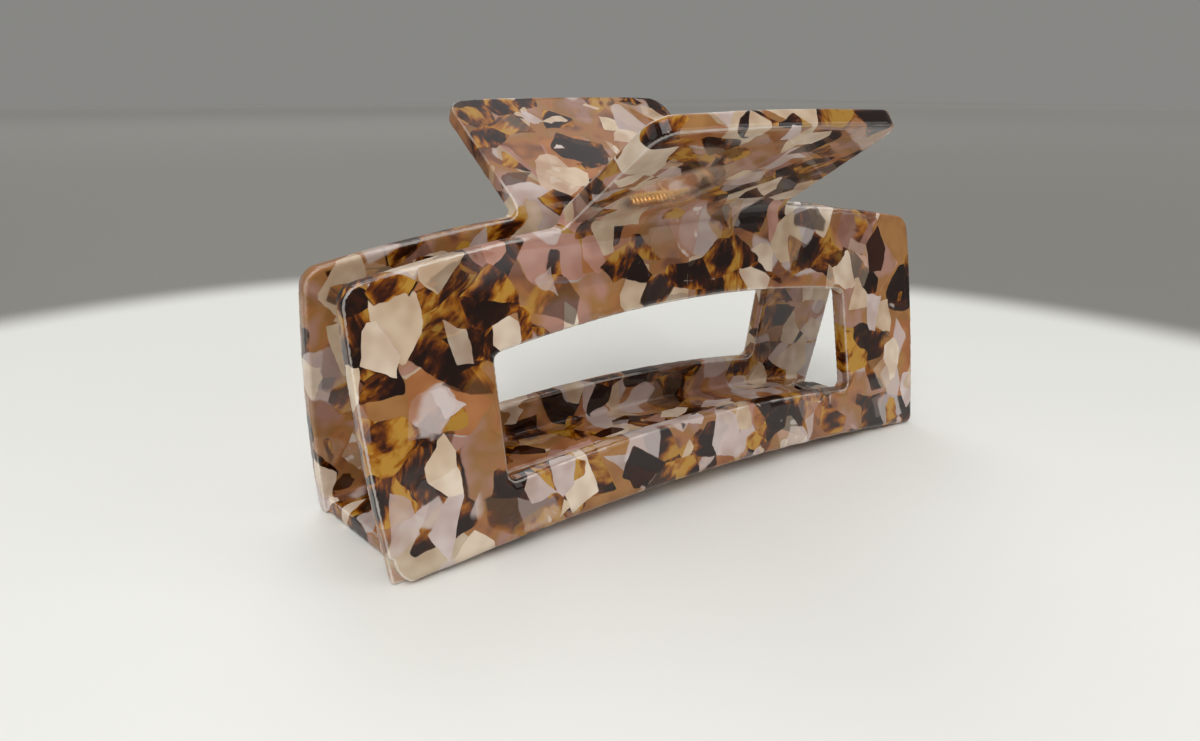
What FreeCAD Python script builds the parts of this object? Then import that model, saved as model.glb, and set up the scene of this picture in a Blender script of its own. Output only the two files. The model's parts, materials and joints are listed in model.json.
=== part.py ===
"""Arched acetate claw clip: two bent sheet jaws on a sprung hinge.

Millimetres, +Z up. X runs along the clip, Y from the front jaw (-Y) to the back jaw (+Y).
The origin is on the standing plane, under the middle of the clip. The clip is closed.
"""
import FreeCAD, Part
import math
import os

V = FreeCAD.Vector

# ---- driving dimensions -------------------------------------------------------------
SHEET = 2.8                 # thickness of the acetate sheet

HALF_LENGTH = 52.5          # half the clip's length at the foot of a wall
HALF_LENGTH_MIDDLE = 54.4   # the wall's ends bulge outwards at half height
HALF_LENGTH_TOP = 54.5      # half the length at the shoulders
FOOT_Y = 15.2               # outer face of a wall at its foot, from the middle plane
WALL_SLOPE = 0.18           # inward lean of a wall, mm per mm of height

ARCH_HALF_SPAN = 52.4       # the whole sheet is bowed upwards along X between these ends
ARCH_RISE = 3.1
LAND_DEPTH = 0.3            # flat lands that the clip stands on, lapped off the arch's ends

SHOULDER_END_Z = 38.6       # top edge of a wall at its ends
SHOULDER_CROWN_Z = 44.0     # where that edge's arc would peak in the middle
TOP_CORNER_R = 3.0
FOOT_CORNER_R = 4.2
FOOT_CORNER_OUT = 0.25      # the rounding starts this far outside HALF_LENGTH, where the end bulges

WINDOW_HALF_WIDTH = 35.0
WINDOW_FOOT_END_Z = 10.0    # window edges are arcs: height at the corners, and in the middle
WINDOW_FOOT_CROWN_Z = 12.2
WINDOW_HEAD_END_Z = 27.6
WINDOW_HEAD_CROWN_Z = 30.6
WINDOW_CORNER_R = 1.2

ROOT_RISE = 40.9            # height of the handle's bend above the arched underside
FRONT_HANDLE = (58.0, 25.2) # lean in degrees from vertical, and bend to tip on the outer face
BACK_HANDLE = (54.5, 24.8)
HANDLE_HALF_ROOT = 21.5
HANDLE_HALF_TIP = 22.4
HANDLE_TIP_Z = 59.5
TIP_CORNER_R = 3.2
ROOT_NOTCH_R = 1.5

FOOT_BEND_R = (1.5, 0.5)    # outer and inner radius of the bend into the floor flange
ROOT_BEND_R = (2.2, 5.0)    # outer (hollow) and inner radius of the bend into the handle

PARTING_GAP = 0.4           # free edge of each flange, from the middle plane
TOOTH_REACH = 9.3           # how far a flange's end tooth crosses the middle plane

HINGE_Z = 45.8
PIN_R = 0.8
PIN_RUNNING_GAP = 0.05
PIN_HEAD_R = 1.5
PIN_HEAD = 0.6
PIN_HEAD_ROUND = 0.35
PIN_END_PLAY = 0.1          # between the outer ears and the pin's head or peened end
PEEN = 0.5                  # length of the peened end, and how far it flares
PEEN_FLARE = 0.4
METAL = 0.8                 # hinge strap thickness
EAR_HEAD_R = 2.3
FRONT_EAR_X = 8.0           # inner face of the front strap's ears
EAR_SIDE_GAP = 0.3          # between a front ear and the back ear outside it
STRAP_FOOT_Z = 36.4
STRAP_TOP_Z = 42.0
STRAP_SEAT_GAP = 0.03
STUD_X = 5.6
STUD_Z = 39.0
STUD_R = 0.6
STUD_GAP = 0.02
STUD_DEPTH = 1.7
STUD_HEAD_R = 1.15
STUD_HEAD = 0.4
STUD_HEAD_ROUND = 0.24
STUD_TIP_ROOM = 0.1         # left free at the bottom of a stud's hole

WIRE_R = 0.38
COIL_R = 1.9                # to the middle of the wire
COIL_PITCH = 0.8
COIL_WHOLE_TURNS = 16
LEG_LENGTH = 8.0
LEG_SEAT_GAP = 0.04

FAR = 80.0                  # beyond the clip on any side


# ---- plane geometry -----------------------------------------------------------------
def unit(v):
    return v / math.hypot(v.x, v.y)


def rounded_wire(corners, place):
    """Closed wire of straight runs with rounded corners; corners are (u, v, radius)."""
    points = [V(u, v, 0) for u, v, _ in corners]
    count = len(points)
    runs = []
    for i, (_, _, radius) in enumerate(corners):
        here = points[i]
        back = unit(points[i - 1] - here)
        ahead = unit(points[(i + 1) % count] - here)
        if radius == 0:
            runs.append((here, here, here))
            continue
        half = math.acos(max(-1.0, min(1.0, back.dot(ahead)))) / 2
        setback = radius / math.tan(half)
        centre = here + unit(back + ahead) * (radius / math.sin(half))
        middle = centre + unit(here - centre) * radius
        runs.append((here + back * setback, middle, here + ahead * setback))
    edges = []
    for i, (start, middle, end) in enumerate(runs):
        if start != end:
            edges.append(Part.Arc(place(start), place(middle), place(end)).toShape())
        following = runs[(i + 1) % count][0]
        if (following - end).Length > 1e-6:
            edges.append(Part.makeLine(place(end), place(following)))
    return Part.Wire(edges)


def on_yz(p):
    return V(0, p.x, p.y)


def on_xy(p):
    return V(p.x, p.y, 0)


def arc_z(x, half_span, end_z, crown_z):
    """Height at x of the arc that rises from end_z at +-half_span to crown_z."""
    rise = crown_z - end_z
    radius = (half_span ** 2 + rise ** 2) / (2 * rise)
    return crown_z - radius + math.sqrt(radius ** 2 - x ** 2)


def arc_edge(x0, x1, half_span, end_z, crown_z):
    """Edge along that arc from x0 to x1, in the XZ plane."""
    stations = (x0, (x0 + x1) / 2, x1)
    return Part.Arc(*[V(x, 0, arc_z(x, half_span, end_z, crown_z)) for x in stations]).toShape()


def prism_y(edges):
    """Prism along Y, right through the clip, from a closed outline in the XZ plane."""
    face = Part.Face(Part.Wire(edges))
    face.translate(V(0, -FAR, 0))
    return face.extrude(V(0, 2 * FAR, 0))


def edges_along(shape, direction, test):
    """Straight edges of a shape that run along a direction and whose middle passes test."""
    found = []
    for edge in shape.Edges:
        if len(edge.Vertexes) == 2:
            a, b = (v.Point for v in edge.Vertexes)
            if (b - a).Length > 0 and abs((b - a).normalize().dot(direction)) > 0.999:
                if test((a + b) / 2):
                    found.append(edge)
    return found


# ---- the sheet ----------------------------------------------------------------------
ARCH_R = (ARCH_HALF_SPAN ** 2 + ARCH_RISE ** 2) / (2 * ARCH_RISE)
ARCH_CROWN_Z = ARCH_RISE - LAND_DEPTH
ARCH_AXIS = V(0, 0, ARCH_CROWN_Z - ARCH_R)


def wall_y(rise):
    """Outer face of a wall, distance from the middle plane, at a height above the underside."""
    return FOOT_Y - WALL_SLOPE * rise


def handle_way(lean):
    """Direction up the front handle, in the section's own plane."""
    angle = math.radians(lean)
    return V(-math.sin(angle), math.cos(angle), 0)


def sheet_section(lean, length):
    """Front jaw's section at x = 0: floor flange, wall and handle, one bent sheet."""
    foot = V(-FOOT_Y, 0, 0)
    root = V(-wall_y(ROOT_RISE), ROOT_RISE, 0)
    outer = [V(TOOTH_REACH + SHEET, 0, 0), foot, root,
             root + handle_way(lean) * length]
    normals = []
    for a, b in zip(outer, outer[1:]):
        along = unit(b - a)
        normals.append(V(along.y, -along.x, 0))
    inner = [outer[0] + normals[0] * SHEET]
    for i in (1, 2):
        mitre = normals[i - 1] + normals[i]
        inner.append(outer[i] + mitre * (SHEET / (1 + normals[i - 1].dot(normals[i]))))
    inner.append(outer[3] + normals[2] * SHEET)
    radii = (0, FOOT_BEND_R[0], ROOT_BEND_R[0], 0)
    inner_radii = (0, FOOT_BEND_R[1], ROOT_BEND_R[1], 0)
    corners = [(p.x, p.y, r) for p, r in zip(outer, radii)]
    corners += [(p.x, p.y, r) for p, r in reversed(list(zip(inner, inner_radii)))]
    return corners


def bowed(corners):
    """Solid swept from a YZ section around the arch's axis, a little longer than the clip."""
    half_angle = math.degrees(math.asin((HALF_LENGTH_TOP + 4) / ARCH_R))
    face = Part.Face(rounded_wire(corners, on_yz))
    face.translate(V(0, 0, ARCH_CROWN_Z))
    face.rotate(ARCH_AXIS, V(0, 1, 0), -half_angle)
    return face.revolve(ARCH_AXIS, V(0, 1, 0), 2 * half_angle)


def blank():
    """Outline of a jaw seen along Y: arched shoulders, bulging ends and the handle."""
    shoulder = (HALF_LENGTH_TOP, SHOULDER_END_Z, SHOULDER_CROWN_Z)
    notch_z = arc_z(HANDLE_HALF_ROOT, *shoulder)
    top_half = HANDLE_HALF_TIP + (FAR - HANDLE_TIP_Z) * (
        (HANDLE_HALF_TIP - HANDLE_HALF_ROOT) / (HANDLE_TIP_Z - notch_z))
    foot_z = -SHEET
    edges = [Part.makeLine(V(-HALF_LENGTH, 0, foot_z), V(HALF_LENGTH, 0, foot_z))]
    for side in (1, -1):
        foot = V(side * HALF_LENGTH, 0, foot_z)
        end = V(side * HALF_LENGTH_TOP, 0, SHOULDER_END_Z)
        middle = V(side * HALF_LENGTH_MIDDLE, 0, SHOULDER_END_Z / 2)
        notch = V(side * HANDLE_HALF_ROOT, 0, notch_z)
        edges.append(Part.Arc(foot, middle, end).toShape())
        edges.append(arc_edge(side * HALF_LENGTH_TOP, side * HANDLE_HALF_ROOT, *shoulder))
        edges.append(Part.makeLine(notch, V(side * top_half, 0, FAR)))
    edges.append(Part.makeLine(V(-top_half, 0, FAR), V(top_half, 0, FAR)))
    prism = prism_y(Part.__sortEdges__(edges))
    along_y = V(0, 1, 0)
    corners = edges_along(prism, along_y, lambda m: abs(m.x) > HALF_LENGTH_TOP - 0.1 and m.z > 1)
    prism = prism.makeFillet(TOP_CORNER_R, corners)
    notches = edges_along(prism, along_y, lambda m: abs(abs(m.x) - HANDLE_HALF_ROOT) < 0.01)
    return prism.makeFillet(ROOT_NOTCH_R, notches)


def window():
    """The large arched opening in a wall, as a prism along Y."""
    half = WINDOW_HALF_WIDTH
    edges = [arc_edge(-half, half, half, WINDOW_FOOT_END_Z, WINDOW_FOOT_CROWN_Z),
             Part.makeLine(V(half, 0, WINDOW_FOOT_END_Z), V(half, 0, WINDOW_HEAD_END_Z)),
             arc_edge(half, -half, half, WINDOW_HEAD_END_Z, WINDOW_HEAD_CROWN_Z),
             Part.makeLine(V(-half, 0, WINDOW_HEAD_END_Z), V(-half, 0, WINDOW_FOOT_END_Z))]
    prism = prism_y(edges)
    corners = edges_along(prism, V(0, 1, 0), lambda m: abs(m.x) > half - 0.01)
    return prism.makeFillet(WINDOW_CORNER_R, corners)


def flange_outline():
    """Plan of the front jaw's floor flange: a tooth at +X, cut away for its twin's at -X."""
    inside = -FOOT_Y + SHEET / 2
    corners = [(HALF_LENGTH - 0.1, inside, 0),
               (50.4, TOOTH_REACH, 2.6),
               (44.9, TOOTH_REACH - 0.8, 1.4),
               (43.2, -PARTING_GAP, 1.0),
               (-41.4, -PARTING_GAP, 1.2),
               (-42.8, -7.0, 2.0),
               (-48.4, -11.0, 2.0),
               (-51.9, -11.4, 0.8),
               (-HALF_LENGTH + 0.1, inside, 0)]
    face = Part.Face(rounded_wire(corners, on_xy))
    face.translate(V(0, 0, -FAR))
    return face.extrude(V(0, 0, 2 * FAR))


def flange_waste():
    """Everything inside the wall at flange height that the flange's outline leaves out."""
    slack = 0.02
    low, high = -SHEET, 2 * SHEET
    inner = -FOOT_Y + SHEET * math.hypot(1, WALL_SLOPE) + slack
    section = [(inner + WALL_SLOPE * low, low, 0), (inner + WALL_SLOPE * high, high, 0),
               (FAR, high, 0), (FAR, low, 0)]
    return bowed(section).cut(flange_outline())


def foot_corner_waste():
    """Rounds the outer part of the wall's foot, at the end where the flange is cut away."""
    r = FOOT_CORNER_R
    spare = 2
    depth = spare + SHEET * 2 / 3
    box = Part.makeBox(r + spare, depth, r + spare, V(-HALF_LENGTH - spare, -FOOT_Y - spare, -spare))
    centre = V(-HALF_LENGTH - FOOT_CORNER_OUT + r, -FOOT_Y - 2 * spare, r)
    disc = Part.makeCylinder(r, depth + 2 * spare, centre, V(0, 1, 0))
    return box.cut(disc)


def stud_hole(x):
    """Blind hole for a hinge stud in the front wall's inner face."""
    seat, normal = wall_seat(STUD_Z)
    start = V(x, seat.y, seat.z) + normal * STUD_GAP
    return Part.makeCylinder(STUD_R + STUD_GAP, STUD_DEPTH + STUD_TIP_ROOM, start, -normal)


def wall_seat(z):
    """Point on the front wall's inner face at x = 0 and height z, and its inward normal."""
    slant = math.hypot(1, WALL_SLOPE)
    y = -wall_y(z - ARCH_CROWN_Z) + SHEET * slant
    return V(0, y, z), V(0, 1, -WALL_SLOPE) / slant


def tip_waste(lean, length):
    """Trims the handle's tip straight, square to its faces."""
    way = handle_way(lean)
    box = Part.makeBox(2 * FAR, FAR, FAR, V(-FAR, -FAR / 2, 0))
    box.rotate(V(0, 0, 0), V(1, 0, 0), lean)
    box.translate(V(0, way.x * length - wall_y(ROOT_RISE),
                    way.y * length + ROOT_RISE + ARCH_CROWN_Z))
    return box


def jaw(lean, length):
    """The front jaw."""
    solid = bowed(sheet_section(lean, length + 1))
    solid = solid.common(blank())
    solid = solid.cut(window())
    solid = solid.cut(flange_waste())
    solid = solid.cut(foot_corner_waste())
    solid = solid.cut(tip_waste(lean, length))
    tips = [e for e in solid.Edges if e.Length < SHEET + 0.2 and e.BoundBox.ZMin > HINGE_Z + 6]
    solid = solid.makeFillet(TIP_CORNER_R, tips)
    solid = solid.cut(Part.makeBox(2 * FAR, 2 * FAR, FAR, V(-FAR, -FAR, -FAR)))
    for x in (-STUD_X, STUD_X):
        solid = solid.cut(stud_hole(x))
    return solid.Solids[0]


# ---- the hinge ----------------------------------------------------------------------
def strap_section(thickness):
    """Corners of the strap's seat plate in the YZ plane, from the wall inwards."""
    corners = []
    for z, lifts in ((STRAP_FOOT_Z, (0, 1)), (STRAP_TOP_Z, (1, 0))):
        seat, normal = wall_seat(z)
        corners += [seat + normal * (STRAP_SEAT_GAP + thickness * lift) for lift in lifts]
    return corners


def ear_outline():
    """Ear of the front strap: from the seat plate's edges, tangent round the pin."""
    foot, _, _, top = strap_section(METAL)
    centre = V(0, 0, HINGE_Z)

    def tangent(start, side):
        reach = start - centre
        spread = math.acos(EAR_HEAD_R / reach.Length)
        angle = math.atan2(reach.z, reach.y) + side * spread
        return centre + V(0, math.cos(angle), math.sin(angle)) * EAR_HEAD_R, angle

    low, low_angle = tangent(foot, 1)
    high, high_angle = tangent(top, -1)
    far_angle = (low_angle + high_angle + 2 * math.pi) / 2
    far = centre + V(0, math.cos(far_angle), math.sin(far_angle)) * EAR_HEAD_R
    return Part.Face(Part.Wire([Part.makeLine(foot, low), Part.Arc(low, far, high).toShape(),
                                Part.makeLine(high, top), Part.makeLine(top, foot)]))


def pin_hole():
    return Part.makeCylinder(PIN_R + PIN_RUNNING_GAP, 2 * FAR, V(-FAR, 0, HINGE_Z), V(1, 0, 0))


def strap(ear_x):
    """Front hinge strap: a seat plate on the wall's inner face and two ears for the pin."""
    half = ear_x + METAL
    plate = Part.Face(Part.makePolygon(strap_section(METAL) + strap_section(METAL)[:1]))
    plate.translate(V(-half, 0, 0))
    solid = plate.extrude(V(2 * half, 0, 0))
    for x in (-half, ear_x):
        ear = ear_outline()
        ear.translate(V(x, 0, 0))
        solid = solid.fuse(ear.extrude(V(METAL, 0, 0)))
    seat, normal = wall_seat(STUD_Z)
    for x in (-STUD_X, STUD_X):
        start = V(x, seat.y, seat.z) - normal
        solid = solid.cut(Part.makeCylinder(STUD_R + STUD_GAP, 2 + METAL, start, normal))
    return solid.removeSplitter().cut(pin_hole()).Solids[0]


def outer_rim(head, base, way, height):
    """The round edge at the far end of a cylindrical head that stands on base."""
    return [e for e in head.Edges if e.Closed and (e.CenterOfMass - base).dot(way) > height / 2]


def studs():
    """The two headed studs that hold the front strap, set in the wall's blind holes."""
    seat, normal = wall_seat(STUD_Z)
    pair = []
    for x in (-STUD_X, STUD_X):
        under_head = V(x, seat.y, seat.z) + normal * (STRAP_SEAT_GAP + METAL)
        shank = Part.makeCylinder(STUD_R, STUD_DEPTH + METAL, under_head, -normal)
        head = Part.makeCylinder(STUD_HEAD_R, STUD_HEAD, under_head, normal)
        rim = outer_rim(head, under_head, normal, STUD_HEAD)
        pair.append(head.makeFillet(STUD_HEAD_ROUND, rim).fuse(shank).Solids[0])
    return Part.makeCompound(pair)


def hinge_pin():
    """Pin through all four ears: headed at -X, peened over at +X."""
    end = FRONT_EAR_X + 2 * METAL + EAR_SIDE_GAP + PIN_END_PLAY
    along = V(1, 0, 0)
    under_head = V(-end, 0, HINGE_Z)
    shank = Part.makeCylinder(PIN_R, 2 * end, under_head, along)
    head = Part.makeCylinder(PIN_HEAD_R, PIN_HEAD, under_head, -along)
    head = head.makeFillet(PIN_HEAD_ROUND, outer_rim(head, under_head, -along, PIN_HEAD))
    peened = Part.makeCone(PIN_R + PEEN_FLARE, PIN_R, PEEN, V(end, 0, HINGE_Z), along)
    return shank.fuse(head).fuse(peened).Solids[0]


def leg_angle(handle):
    """Slope angle of a spring leg in the YZ plane, mirrored to +Y, that meets its handle."""
    corners = sheet_section(*handle)
    inner_tip, inner_root = [V(0, -u, v + ARCH_CROWN_Z) for u, v, _ in corners[4:6]]
    along = (inner_tip - inner_root).normalize()
    off_face = V(0, along.z, -along.y)
    room = abs((inner_root - V(0, 0, HINGE_Z)).dot(off_face)) - WIRE_R - LEG_SEAT_GAP
    lean_in = math.asin(room / math.hypot(COIL_R, LEG_LENGTH)) - math.atan(COIL_R / LEG_LENGTH)
    return math.atan2(along.z, along.y) - lean_in


def torsion_spring():
    """Close-wound coil round the pin, with one leg up each handle's inner face."""
    front_leg = math.pi - leg_angle(FRONT_HANDLE)
    back_leg = leg_angle(BACK_HANDLE)
    start_angle = front_leg + math.pi / 2
    end_angle = back_leg - math.pi / 2
    turns = COIL_WHOLE_TURNS + ((end_angle - start_angle) / (2 * math.pi)) % 1
    height = COIL_PITCH * turns
    coil = Part.makeHelix(COIL_PITCH, height, COIL_R)
    rise = COIL_PITCH / (2 * math.pi)
    begin = V(COIL_R, 0, 0)
    begin_way = V(0, COIL_R, rise).normalize()
    finish_turn = 2 * math.pi * turns
    finish = V(COIL_R * math.cos(finish_turn), COIL_R * math.sin(finish_turn), height)
    finish_way = V(-COIL_R * math.sin(finish_turn), COIL_R * math.cos(finish_turn), rise)
    finish_way.normalize()
    path = Part.Wire([Part.makeLine(begin - begin_way * LEG_LENGTH, begin)] + coil.Edges
                     + [Part.makeLine(finish, finish + finish_way * LEG_LENGTH)])
    section = Part.Wire(Part.makeCircle(WIRE_R, begin - begin_way * LEG_LENGTH, begin_way))
    wire = path.makePipeShell([section], True, False)
    wire.rotate(V(0, 0, 0), V(1, 1, 1), 120)
    wire.rotate(V(0, 0, 0), V(1, 0, 0), math.degrees(start_angle))
    wire.translate(V(-height / 2, 0, HINGE_Z))
    return wire


def as_back(shape):
    """A front piece turned half round about the clip's vertical axis."""
    turned = shape.copy()
    turned.rotate(V(0, 0, 0), V(0, 0, 1), 180)
    return turned


# ---- the clip -----------------------------------------------------------------------
def pieces():
    """Every separate piece of the clip, by node name."""
    return {
        "front_jaw": jaw(*FRONT_HANDLE),
        "back_jaw": as_back(jaw(*BACK_HANDLE)),
        "front_hinge_strap": strap(FRONT_EAR_X),
        "back_hinge_strap": as_back(strap(FRONT_EAR_X + METAL + EAR_SIDE_GAP)),
        "front_strap_studs": studs(),
        "back_strap_studs": as_back(studs()),
        "hinge_pin": hinge_pin(),
        "torsion_spring": torsion_spring(),
    }


os.makedirs("parts", exist_ok=True)
for name, shape in pieces().items():
    shape.exportStep("parts/%s.step" % name)
    box = shape.optimalBoundingBox(False, False)
    print("%-18s valid %s  solids %d  volume %.1f mm3  x %.1f..%.1f  y %.1f..%.1f  z %.1f..%.1f" % (
        name, shape.isValid(), len(shape.Solids), shape.Volume,
        box.XMin, box.XMax, box.YMin, box.YMax, box.ZMin, box.ZMax))
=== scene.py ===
"""Arched claw clip in polished mosaic acetate with a gold-tone sprung hinge."""
import json
import math

import bpy
import numpy as np
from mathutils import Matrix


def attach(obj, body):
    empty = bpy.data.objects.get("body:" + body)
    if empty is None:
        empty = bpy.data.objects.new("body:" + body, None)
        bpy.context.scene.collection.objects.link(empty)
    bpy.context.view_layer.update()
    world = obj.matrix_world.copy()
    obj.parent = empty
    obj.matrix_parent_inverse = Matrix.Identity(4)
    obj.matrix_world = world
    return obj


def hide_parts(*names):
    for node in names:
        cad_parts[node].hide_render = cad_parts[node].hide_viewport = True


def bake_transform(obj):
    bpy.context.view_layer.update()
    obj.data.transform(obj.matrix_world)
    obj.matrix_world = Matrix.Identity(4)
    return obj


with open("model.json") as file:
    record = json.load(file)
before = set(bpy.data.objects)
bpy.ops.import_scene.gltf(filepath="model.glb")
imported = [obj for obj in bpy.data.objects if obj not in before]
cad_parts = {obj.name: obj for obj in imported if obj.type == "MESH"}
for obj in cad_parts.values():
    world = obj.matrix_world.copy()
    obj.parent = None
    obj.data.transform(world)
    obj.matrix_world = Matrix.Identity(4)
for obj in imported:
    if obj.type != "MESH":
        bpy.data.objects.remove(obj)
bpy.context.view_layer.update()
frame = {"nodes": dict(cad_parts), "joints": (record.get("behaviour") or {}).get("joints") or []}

import openvdb
from mathutils import Euler, Vector
from mathutils.bvhtree import BVHTree

MM = 0.001                  # a millimetre in metres
HINGE = Vector(frame["joints"][0]["pos_m"])

# The camera stands in front of the clip's left end and looks down at it.
CAMERA_PLACE = Vector((-0.0905, -0.1129, 0.0622))       # metres
CAMERA_TURN = -35.4         # degrees from looking along +Y
CAMERA_DIP = 17.6           # degrees below level
CAMERA_LENS = 27.0          # mm
SENSOR_WIDTH = 36.0         # mm
NEAREST_SEEN = 0.005        # metres

# Lamps: name, place and width in metres, power in watts.
LAMPS = (("key_lamp", (-0.58, -0.7, 0.9), 0.8, 8.0),
         ("glint_lamp", (-0.5, -0.78, 0.86), 0.08, 0.8),
         ("top_lamp", (0.1, 0.1, 1.7), 2.2, 11.0),
         ("fill_lamp", (1.0, -1.2, 0.7), 1.0, 4.0),
         ("side_lamp", (-1.4, 0.3, 0.5), 1.0, 2.5),
         ("back_lamp", (0.4, 1.2, 1.2), 1.0, 4.0))
ROOM_LIGHT = 0.4            # strength of the light from all round

FLOOR_HALF = 3.0            # metres
LIT_MIDDLE = (-29, -8, 0)   # mm, middle of the painted pool of light on the floor
LIT_REACH = (178, 208)      # mm from there, where the painted shade starts and where it is whole
FAR_REACH = (200, 3000)     # mm from there, where the painted shade starts to be painted lighter and where that ends

EDGE_ROUND = 0.38           # mm, polished radius of the sheet's edges
VOXEL = 0.2                 # mm, cell of the level sets that round the edges
SPARE_VOXELS = 4            # kept beyond a level set's reach
SLOPE_STEP = 0.75           # voxels to either side of a point, to find the surface's slope there
MESH_ADAPTIVITY = 0.02      # how readily flat places are given larger faces, from 0 to 1
ON_FACE = 0.012             # mm, how near the CAD face a point counts as on it
SAME_WAY = 0.97             # least cosine between the CAD normal and the rounded one, to use the first
ARRIS_DEPTH = 0.1           # mm, about how far the middle of a rounded edge is off the CAD face

RESIN_CLEAR = 0.4           # share of light that passes into resin with no flake in it
# Clear spots low on the front handle, where the spring's coil shows: middle from the hinge, radius, mm.
COIL_CLEARINGS = (((-11.0, -14.8, 2.2), 7.0), ((-6.5, -15.8, 2.9), 7.0))


# ---- material graphs ------------------------------------------------------------------
class Graph:
    """Short forms for building one node material."""

    def __init__(self, name):
        self.material = bpy.data.materials.new(name)
        self.material.use_nodes = True
        self.tree = self.material.node_tree
        self.tree.nodes.clear()

    def add(self, kind, inputs, **settings):
        node = self.tree.nodes.new(kind)
        for key, value in settings.items():
            setattr(node, key, value)
        for key, value in inputs.items():
            if isinstance(value, bpy.types.NodeSocket):
                self.tree.links.new(value, node.inputs[key])
            else:
                node.inputs[key].default_value = value
        return node

    def place(self):
        """The piece's own coordinates in millimetres."""
        own = self.add("ShaderNodeTexCoord", {}).outputs["Object"]
        return self.add("ShaderNodeMapping", {"Vector": own, "Scale": (1 / MM,) * 3}).outputs[0]

    def math(self, operation, a, b=0.0, c=0.0):
        """One sum on numbers; MULTIPLY_ADD gives a * b + c."""
        return self.add("ShaderNodeMath", {0: a, 1: b, 2: c}, operation=operation).outputs[0]

    def vector_math(self, operation, a, b):
        return self.add("ShaderNodeVectorMath", {0: a, 1: b}, operation=operation).outputs[0]

    def distance(self, a, b):
        return self.add("ShaderNodeVectorMath", {0: a, 1: b}, operation="DISTANCE").outputs["Value"]

    def step(self, value, low, high, out_low=0.0, out_high=1.0):
        """Smooth change from out_low to out_high as value goes from low to high."""
        return self.add("ShaderNodeMapRange",
                        {"Value": value, "From Min": low, "From Max": high, "To Min": out_low,
                         "To Max": out_high}, interpolation_type="SMOOTHSTEP").outputs[0]

    def mix(self, factor, a, b, blend="MIX"):
        """Colour from a to b as factor goes from 0 to 1."""
        return self.add("ShaderNodeMix", {0: factor, 6: a, 7: b}, data_type="RGBA",
                        blend_type=blend).outputs[2]

    def blend(self, factor, a, b):
        """Number from a to b as factor goes from 0 to 1."""
        return self.add("ShaderNodeMix", {0: factor, 2: a, 3: b}, data_type="FLOAT").outputs[0]

    def ramp(self, value, stops, interpolation="LINEAR"):
        """Colour by value, from (position, colour) stops."""
        node = self.add("ShaderNodeValToRGB", {"Fac": value})
        ramp = node.color_ramp
        ramp.interpolation = interpolation
        while len(ramp.elements) < len(stops):
            ramp.elements.new(0.5)
        for element, (position, colour) in zip(ramp.elements, stops):
            element.position = position
            element.color = colour
        return node.outputs["Color"]

    def noise(self, vector, scale, detail=2.0, roughness=0.5, distortion=0.0, output="Fac"):
        return self.add("ShaderNodeTexNoise", {"Vector": vector, "Scale": scale, "Detail": detail,
                                               "Roughness": roughness,
                                               "Distortion": distortion}).outputs[output]

    def drift(self, vector, scale, reach):
        """The vector moved by up to about half of reach, by smooth noise."""
        sway = self.noise(vector, scale, detail=1, output="Color")
        return self.add("ShaderNodeVectorMath", {0: sway, 1: (reach,) * 3, 2: vector},
                        operation="MULTIPLY_ADD").outputs[0]

    def split(self, colour):
        return self.add("ShaderNodeSeparateColor", {"Color": colour}).outputs

    def bump(self, height, distance, strength=1.0):
        return self.add("ShaderNodeBump", {"Height": height, "Distance": distance,
                                           "Strength": strength}).outputs[0]

    def finish(self, **sockets):
        """The material, with a Principled shader whose sockets are named with _ for each space."""
        inputs = {key.replace("_", " "): value for key, value in sockets.items()}
        surface = self.add("ShaderNodeBsdfPrincipled", inputs)
        self.add("ShaderNodeOutputMaterial", {"Surface": surface.outputs[0]})
        return self.material


def rgb(red, green, blue):
    """Linear colour from 0 to 255 screen values."""
    def linear(value):
        value /= 255
        return value / 12.92 if value <= 0.04045 else ((value + 0.055) / 1.055) ** 2.4
    return (linear(red), linear(green), linear(blue), 1.0)


CREAM = rgb(214, 194, 168)
IVORY = rgb(227, 211, 191)
LILAC = rgb(208, 194, 191)
PEACH = rgb(190, 127, 79)
BEIGE = rgb(180, 130, 77)
ROSE = rgb(197, 150, 134)
MAUVE = rgb(144, 93, 67)
COCOA = rgb(52, 22, 8)
CLEAR_RESIN = rgb(246, 228, 210)
# Near-white used for the painted highlights on chip rims and rounded edges.
PAINTED_GLINT = rgb(250, 244, 236)


# ---- acetate --------------------------------------------------------------------------
def flakes(g, where, size, blur, share):
    """One scatter of flakes: (cover from 0 to 1, each flake's random colour, depth inside it).

    Size is the width of its cells in mm, and share the part of them that hold a flake. Blur is
    from 0, crisp, to 0.5. The depth is 1 at a flake's middle and 0 at about its edge.
    """
    scale = 1 / size
    cell = g.add("ShaderNodeTexVoronoi", {"Vector": where, "Scale": scale})
    melted = g.add("ShaderNodeTexVoronoi", {"Vector": where, "Scale": scale, "Smoothness": blur},
                   feature="SMOOTH_F1")
    presence = g.split(melted.outputs["Color"])[0]
    cover = g.step(presence, share - 0.05, share + 0.05, 1.0, 0.0)
    depth = g.step(cell.outputs["Distance"], 0.0, 0.75, 1.0, 0.0)
    return cover, g.split(cell.outputs["Color"]), depth


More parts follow.
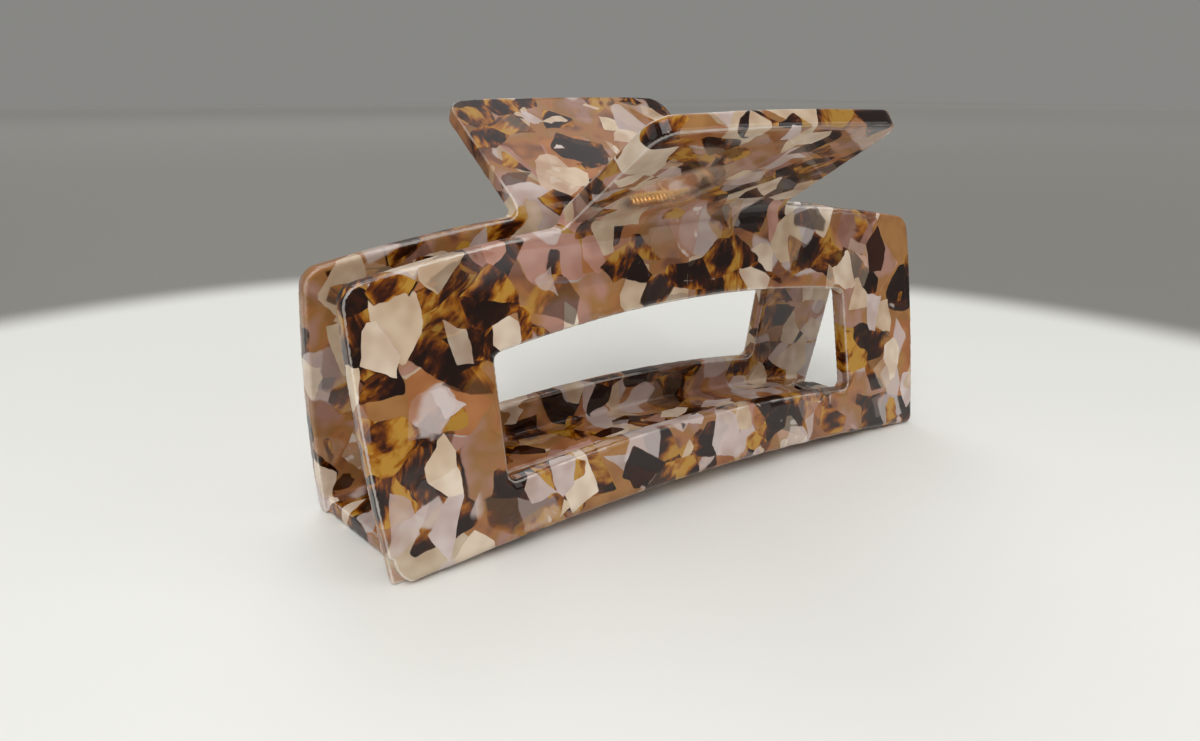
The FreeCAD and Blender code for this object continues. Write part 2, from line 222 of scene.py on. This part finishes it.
def tortoise(g, where, random, inside):
    """Amber to black-brown streaks that run a different way in each flake, darkest inside it."""
    turned = g.add("ShaderNodeVectorRotate",
                   {"Vector": where, "Axis": (0.4, 0.3, 0.85),
                    "Angle": g.math("MULTIPLY", random[1], 2 * math.pi)}).outputs[0]
    drawn = g.vector_math("MULTIPLY", turned, (0.12, 1.0, 0.4))
    bands = g.noise(drawn, 0.26, detail=1, distortion=0.2)
    lines = g.noise(drawn, 1.3, detail=2, roughness=0.5, distortion=0.2)
    clouds = g.noise(where, 0.3, detail=1)
    light = g.math("MULTIPLY_ADD", lines, 0.65, g.math("MULTIPLY", bands, 1.2))
    light = g.math("MULTIPLY_ADD", clouds, 0.45, light)
    light = g.math("MULTIPLY_ADD", inside, -0.3, light)
    light = g.math("MULTIPLY_ADD", random[2], 0.2, light)
    return g.ramp(g.step(light, 0.84, 1.6), [(0.18, rgb(32, 11, 3)), (0.36, rgb(64, 25, 6)),
                                             (0.5, rgb(112, 54, 10)), (0.66, rgb(172, 101, 14)),
                                             (0.84, rgb(205, 153, 60))])


def acetate(name, offset, clearings=()):
    """Mosaic acetate: pale and tortoise flakes cast in translucent peach resin, then polished.

    Offset, in mm, picks the stretch of the endless mosaic that the piece is cut from. Clearings are
    (middle from the hinge, radius) in mm of spots where few flakes lie and the resin shows through.
    """
    g = Graph(name)
    own = g.place()
    where = g.vector_math("ADD", own, offset)
    bent = g.drift(g.drift(where, 0.1, 3.0), 0.5, 0.5)

    def laid(turn, stretch=(1, 1, 1)):
        angles = [math.radians(a) for a in turn]
        return g.add("ShaderNodeMapping", {"Vector": bent, "Rotation": angles, "Scale": stretch,
                                           "Location": turn}).outputs[0]

    def pale(random, stops):
        """Flat colour by flake, each a little lighter or darker, with a soft cloud in it."""
        flat = g.ramp(random[1], stops, "CONSTANT")
        cloud = g.step(g.noise(where, 0.28, detail=1), 0.3, 0.7, 0.0, 0.45)
        shade = g.math("MULTIPLY_ADD", random[2], 0.35, cloud)
        return g.mix(shade, flat, rgb(196, 172, 156), "MULTIPLY")

    tint = g.noise(where, 0.13, detail=2)
    colour = g.ramp(tint, [(0.38, MAUVE), (0.46, PEACH), (0.54, BEIGE), (0.64, ROSE)])
    clear = RESIN_CLEAR

    # Soft pale ground.
    cover, random, _ = flakes(g, laid((20, 0, 35)), size=9.5, blur=0.4, share=0.5)
    colour = g.mix(cover, colour, pale(random, [(0.0, LILAC), (0.16, PEACH), (0.5, ROSE), (0.68, BEIGE),
                                                (0.92, CREAM)]))
    clear = g.blend(cover, clear, 0.2)

    # Large tortoise flakes.
    cover, random, inside = flakes(g, laid((50, 30, 10), (1, 0.75, 1.25)), size=8.0, blur=0.22, share=0.4)
    colour = g.mix(cover, colour, tortoise(g, bent, random, inside))
    clear = g.blend(cover, clear, 0.4)

    # Thin lilac veils over them.
    cover, _, _ = flakes(g, laid((35, 80, 15), (1.2, 0.7, 1)), size=6.5, blur=0.4, share=0.16)
    veil = g.math("MULTIPLY", cover, 0.75)
    colour = g.mix(veil, colour, LILAC)
    clear = g.blend(veil, clear, 0.1)

    # Crisp pale chips, some with a painted highlight, a near-white line, along their rim.
    cover, random, _ = flakes(g, laid((10, 70, 60), (1.3, 0.8, 1)), size=7.0, blur=0.05, share=0.2)
    colour = g.mix(cover, colour, pale(random, [(0.0, CREAM), (0.3, IVORY), (0.5, LILAC), (0.7, ROSE),
                                                (0.82, CREAM)]))
    clear = g.blend(cover, clear, 0.0)
    rim = g.math("MULTIPLY", g.step(cover, 0.2, 0.5), g.step(cover, 0.5, 0.9, 0.9, 0.0))
    painted_rim_glint = g.math("MULTIPLY", rim, g.step(g.noise(where, 0.45, detail=1), 0.58, 0.66))

    # Small tortoise flakes.
    cover, random, inside = flakes(g, laid((65, 15, 40), (0.8, 1.4, 1)), size=5.0, blur=0.2, share=0.25)
    colour = g.mix(cover, colour, tortoise(g, bent, random, inside))
    clear = g.blend(cover, clear, 0.3)

    # Small crisp chips on top.
    cover, random, _ = flakes(g, laid((80, 15, 25), (1, 1.5, 0.75)), size=4.4, blur=0.05, share=0.13)
    colour = g.mix(cover, colour, pale(random, [(0.0, IVORY), (0.35, COCOA), (0.5, CREAM),
                                                (0.75, LILAC)]))
    clear = g.blend(cover, clear, 0.0)

    # Painted highlight: near-white mixed in along the chosen chip rims.
    colour = g.mix(painted_rim_glint, colour, PAINTED_GLINT)

    # Fine scuffs and long waves, which buffing leaves.
    scuffs = g.noise(where, 6.0, detail=4, roughness=0.7)
    waves = g.noise(where, 0.16, detail=1)
    roughness = g.step(scuffs, 0.3, 0.8, 0.04, 0.1)

    for middle, radius in clearings:
        away = g.distance(own, HINGE / MM + Vector(middle))
        near = g.step(away, radius * 0.5, radius, 0.95, 0.0)
        colour = g.mix(g.math("MULTIPLY", near, 0.9), colour, CLEAR_RESIN)
        clear = g.blend(near, clear, 1.0)
        roughness = g.blend(near, roughness, 0.0)

    # Painted highlight: rounded edges are mixed towards near-white along stretches of their length.
    arris = g.add("ShaderNodeAttribute", {}, attribute_name="arris").outputs["Fac"]
    stretches = g.step(g.noise(where, 0.09), 0.42, 0.56, 0.1, 0.5)
    painted_edge_gleam = g.math("MULTIPLY", g.step(arris, 0.7, 1.0), stretches)
    colour = g.mix(painted_edge_gleam, colour, PAINTED_GLINT)
    return g.finish(Base_Color=colour, Roughness=roughness, IOR=1.49, Transmission_Weight=clear,
                    Specular_IOR_Level=0.28, Coat_Weight=0.15, Coat_Roughness=0.03,
                    Normal=g.bump(g.math("MULTIPLY_ADD", scuffs, 0.02, waves), 0.0001, 0.4))


# ---- metal ----------------------------------------------------------------------------
BRIGHT_GOLD = rgb(246, 212, 146)


def gold(name, colour, drawn):
    """Bright gold-tone plating; its faint lines run along the axes where drawn is small."""
    g = Graph(name)
    lines = g.noise(g.vector_math("MULTIPLY", g.place(), drawn), 2.2, detail=5, roughness=0.65)
    tone = g.ramp(lines, [(0.3, colour), (0.7, BRIGHT_GOLD)])
    return g.finish(Base_Color=tone, Metallic=1.0, Roughness=g.step(lines, 0.3, 0.7, 0.1, 0.24),
                    Normal=g.bump(lines, 0.00003, 0.35))


# ---- pieces ---------------------------------------------------------------------------
def added(name, data):
    """A new object in the scene that holds a mesh, lamp or camera."""
    thing = bpy.data.objects.new(name, data)
    bpy.context.scene.collection.objects.link(thing)
    return thing


def mesh_arrays(mesh):
    """Corner points in mm, triangles, and each triangle corner's normal."""
    mesh.calc_loop_triangles()
    points = np.empty(len(mesh.vertices) * 3, np.float32)
    mesh.vertices.foreach_get("co", points)
    triangles = np.empty(len(mesh.loop_triangles) * 3, np.int32)
    mesh.loop_triangles.foreach_get("vertices", triangles)
    loops = np.empty(len(mesh.loop_triangles) * 3, np.int32)
    mesh.loop_triangles.foreach_get("loops", loops)
    normals = np.empty(len(mesh.loops) * 3, np.float32)
    mesh.corner_normals.foreach_get("vector", normals)
    normals = normals.reshape(-1, 3)[loops].reshape(-1, 3, 3)
    return points.reshape(-1, 3) / MM, triangles.reshape(-1, 3), normals


def level_set(points, faces, reach):
    """Signed distance, in mm, from a closed mesh, out to reach on either side."""
    return openvdb.FloatGrid.createLevelSetFromPolygons(
        points.astype(np.float32), transform=openvdb.createLinearTransform(voxelSize=VOXEL),
        halfWidth=reach / VOXEL + SPARE_VOXELS, **faces)


def blurred(values):
    """Values after one pass of a 1-2-1 filter along each axis."""
    for axis in range(3):
        values = (np.roll(values, 1, axis) + 2 * values + np.roll(values, -1, axis)) / 4
    return values


def sampled(values, at):
    """Trilinear values of a dense grid at points given in voxels."""
    base = np.floor(at).astype(int)
    part = at - base
    total = np.zeros(len(at))
    for corner in np.ndindex(2, 2, 2):
        weight = np.prod(np.where(corner, part, 1 - part), axis=1)
        total += weight * values[tuple((base + corner).T)]
    return total


def surface_normals(values, at):
    """Unit gradient of a dense grid at points given in voxels."""
    slopes = []
    for axis in range(3):
        shift = np.zeros(3)
        shift[axis] = SLOPE_STEP
        slopes.append(sampled(values, at + shift) - sampled(values, at - shift))
    normals = np.stack(slopes, 1)
    return normals / np.linalg.norm(normals, axis=1)[:, None]


def face_normals(points, triangles, corner_normals, at, fallback):
    """Each point's normal, and from 0 to 1 how far off the CAD face it lies.

    The normal is the CAD surface's own at a point on it, and the fallback elsewhere.
    """
    tree = BVHTree.FromPolygons([Vector(p) for p in points], triangles.tolist())
    normals = fallback.copy()
    off = np.zeros(len(at))
    for i, p in enumerate(at):
        near, _, index, gap = tree.find_nearest(Vector(p))
        off[i] = min(1.0, gap / ARRIS_DEPTH)
        a, b, c = points[triangles[index]]
        ab, ac, ap = b - a, c - a, np.array(near) - a
        whole = np.cross(ab, ac)
        size = whole.dot(whole)
        if gap > ON_FACE or size == 0:
            continue
        v = np.cross(ap, ac).dot(whole) / size
        w = np.cross(ab, ap).dot(whole) / size
        normal = np.array((1 - v - w, v, w)) @ corner_normals[index]
        if normal.dot(fallback[i]) > SAME_WAY:
            normals[i] = normal
    return normals / np.linalg.norm(normals, axis=1)[:, None], off


def rounded(points, triangles):
    """A closed mesh with its sharp edges rounded: points in mm, faces, and the points' normals.

    The surface is drawn in by the radius and let out again, which leaves flat places alone.
    """
    core = level_set(points, {"triangles": triangles.astype(np.uint32)}, EDGE_ROUND)
    inner, threes, fours = core.convertToPolygons(isovalue=-EDGE_ROUND)
    shell = level_set(inner, {"triangles": threes.astype(np.uint32),
                              "quads": fours.astype(np.uint32)}, EDGE_ROUND)
    low, high = (np.array(c) for c in shell.evalActiveVoxelBoundingBox())
    values = np.zeros(high - low + 1, np.float32)
    shell.copyToArray(values, ijk=tuple(int(i) for i in low))
    values = blurred(values)
    smooth = openvdb.FloatGrid(float(values.max()))
    smooth.copyFromArray(values, ijk=tuple(int(i) for i in low))
    smooth.transform = openvdb.createLinearTransform(voxelSize=VOXEL)
    skin, threes, fours = smooth.convertToPolygons(isovalue=EDGE_ROUND, adaptivity=MESH_ADAPTIVITY)
    skin = np.clip(skin, points.min(0), points.max(0))
    return skin, threes.tolist() + fours.tolist(), surface_normals(values, skin / VOXEL - low)


def polished(name, node, body, material):
    """A jaw in the node's own shape, with its edges rounded as tumbling and buffing leave them."""
    points, triangles, corner_normals = mesh_arrays(frame["nodes"][node].data)
    skin, faces, bent = rounded(points, triangles)
    normals, arris = face_normals(points, triangles, corner_normals, skin, bent)

    mesh = bpy.data.meshes.new(name)
    mesh.from_pydata((skin * MM).tolist(), [], faces)
    mesh.polygons.foreach_set("use_smooth", [True] * len(mesh.polygons))
    mesh.normals_split_custom_set_from_vertices(normals.tolist())
    mesh.attributes.new("arris", "FLOAT", "POINT").data.foreach_set("value", arris)
    mesh.materials.append(material)
    piece = added(name, mesh)
    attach(piece, body)
    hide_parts(node)


def spring_wire(material):
    """The torsion spring, a copy of the CAD one in its own shape, with the given material."""
    mesh = frame["nodes"]["torsion_spring"].data.copy()
    mesh.materials.clear()
    mesh.materials.append(material)
    piece = added("spring_wire", mesh)
    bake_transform(piece)
    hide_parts("torsion_spring")


# ---- studio ---------------------------------------------------------------------------
def floor():
    """Pale floor with painted shade away from the clip, painted lighter again far off."""
    g = Graph("floor_paint")
    where = g.place()
    away = g.distance(where, LIT_MIDDLE)
    # Painted shade: the floor turns grey past LIT_REACH, and that grey is painted lighter again out to
    # FAR_REACH.
    shade = g.step(away, *LIT_REACH)
    far = g.add("ShaderNodeMapRange", {"Value": away, "From Min": FAR_REACH[0],
                                       "From Max": FAR_REACH[1]}).outputs[0]
    dim = g.mix(g.math("POWER", far, 1.4), rgb(136, 134, 129), rgb(240, 238, 233))
    tone = g.noise(where, 0.004, detail=3)
    pale = g.ramp(tone, [(0.3, rgb(236, 236, 231)), (0.7, rgb(242, 242, 238))])
    colour = g.mix(shade, pale, dim)
    grain = g.noise(where, 1.5, detail=3)
    material = g.finish(Base_Color=colour, Roughness=g.step(grain, 0.3, 0.7, 0.42, 0.5),
                        Specular_IOR_Level=0.25)
    corners = [(x * FLOOR_HALF, y * FLOOR_HALF, 0) for x, y in ((-1, -1), (1, -1), (1, 1), (-1, 1))]
    mesh = bpy.data.meshes.new("floor")
    mesh.from_pydata(corners, [], [(0, 1, 2, 3)])
    mesh.materials.append(material)
    added("floor", mesh)


def softbox(name, place, size, power):
    """A square lamp that faces the clip."""
    lamp = bpy.data.lights.new(name, "AREA")
    lamp.size = size
    lamp.energy = power
    box = added(name, lamp)
    box.location = place
    box.rotation_euler = (HINGE - Vector(place)).to_track_quat("-Z", "Y").to_euler()


def studio():
    """Pale floor, soft lamps and a dim grey room around them."""
    bpy.context.scene.view_settings.view_transform = "Standard"
    floor()
    for lamp in LAMPS:
        softbox(*lamp)
    world = bpy.data.worlds.new("room")
    world.use_nodes = True
    background = world.node_tree.nodes["Background"].inputs
    background["Color"].default_value = rgb(205, 204, 200)
    background["Strength"].default_value = ROOM_LIGHT
    bpy.context.scene.world = world


def camera():
    """The camera that the picture is taken with."""
    lens = bpy.data.cameras.new("camera")
    lens.lens = CAMERA_LENS
    lens.sensor_width = SENSOR_WIDTH
    lens.clip_start = NEAREST_SEEN
    eye = added("camera", lens)
    eye.location = CAMERA_PLACE
    eye.rotation_euler = Euler((math.radians(90 - CAMERA_DIP), 0, math.radians(CAMERA_TURN)))
    bpy.context.scene.camera = eye


# ---- the clip -------------------------------------------------------------------------
studio()
camera()

front_acetate = acetate("acetate_front", (31, 7, 12), COIL_CLEARINGS)
polished("front_jaw_polished", "front_jaw", "front", front_acetate)
back_acetate = acetate("acetate_back", (-57, 64, 35))
polished("back_jaw_polished", "back_jaw", "back", back_acetate)
plating = gold("gold_plating", rgb(214, 168, 92), (0.2, 1.0, 1.0))
for node in ("front_hinge_strap", "back_hinge_strap", "front_strap_studs", "back_strap_studs",
             "hinge_pin"):
    frame["nodes"][node].data.materials.clear()
    frame["nodes"][node].data.materials.append(plating)
spring_wire(gold("gold_wire", rgb(222, 180, 104), (1.0, 0.3, 0.3)))
